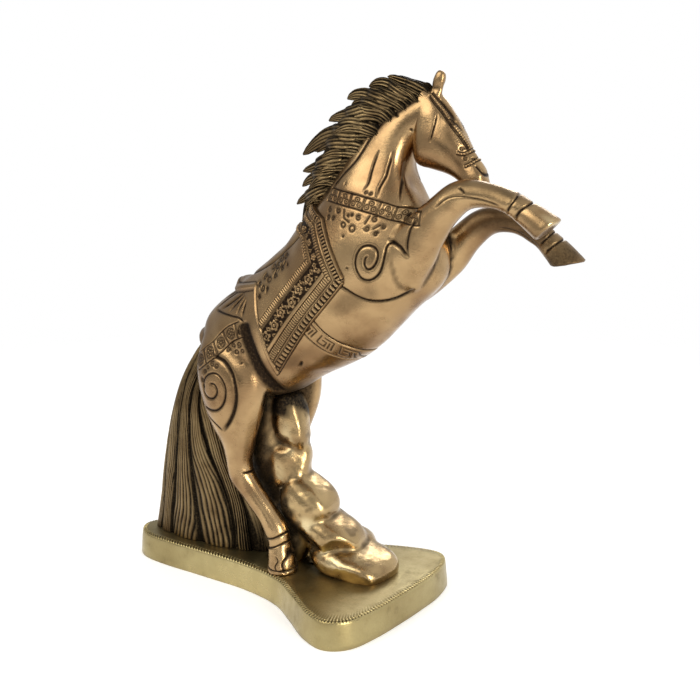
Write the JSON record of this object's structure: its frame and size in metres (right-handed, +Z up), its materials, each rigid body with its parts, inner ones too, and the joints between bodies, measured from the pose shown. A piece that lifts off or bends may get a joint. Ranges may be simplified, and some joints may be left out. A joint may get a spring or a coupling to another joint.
{
  "type": "rearing horse statue",
  "caption": "Cast brass horse reared on its hind legs, steadied by a rock pile and a tail that reaches a lobed plinth, with an engraved saddle cloth and swept mane",
  "frame": {"origin": "middle of the overall box in plan, on the plane that the plinth's rim stands on", "axes": "+X the way the horse faces, +Y the horse's left side, +Z up"},
  "size_m": [0.2924, 0.1202, 0.3056],
  "materials": {
    "body_brass": "polished",
    "hair_brass": "antiqued",
    "plinth_brass": "satin",
    "fixing_steel": "satin"
  },
  "bodies": {
    "root": {"base_plate": "plinth_brass", "rock_support": "body_brass", "trunk_right_half": "body_brass", "trunk_left_half": "body_brass", "head": "body_brass", "mane": "hair_brass", "saddle_cloth": "body_brass", "tail": "hair_brass", "foreleg_right": "body_brass", "foreleg_left": "body_brass", "hindleg_right": "body_brass", "hindleg_left": "body_brass", "base_screw_front": "fixing_steel", "base_screw_middle": "fixing_steel", "base_screw_tail": "fixing_steel", "base_washer_front": "fixing_steel", "base_washer_middle": "fixing_steel", "base_washer_tail": "fixing_steel"}
  },
  "joints": []
}
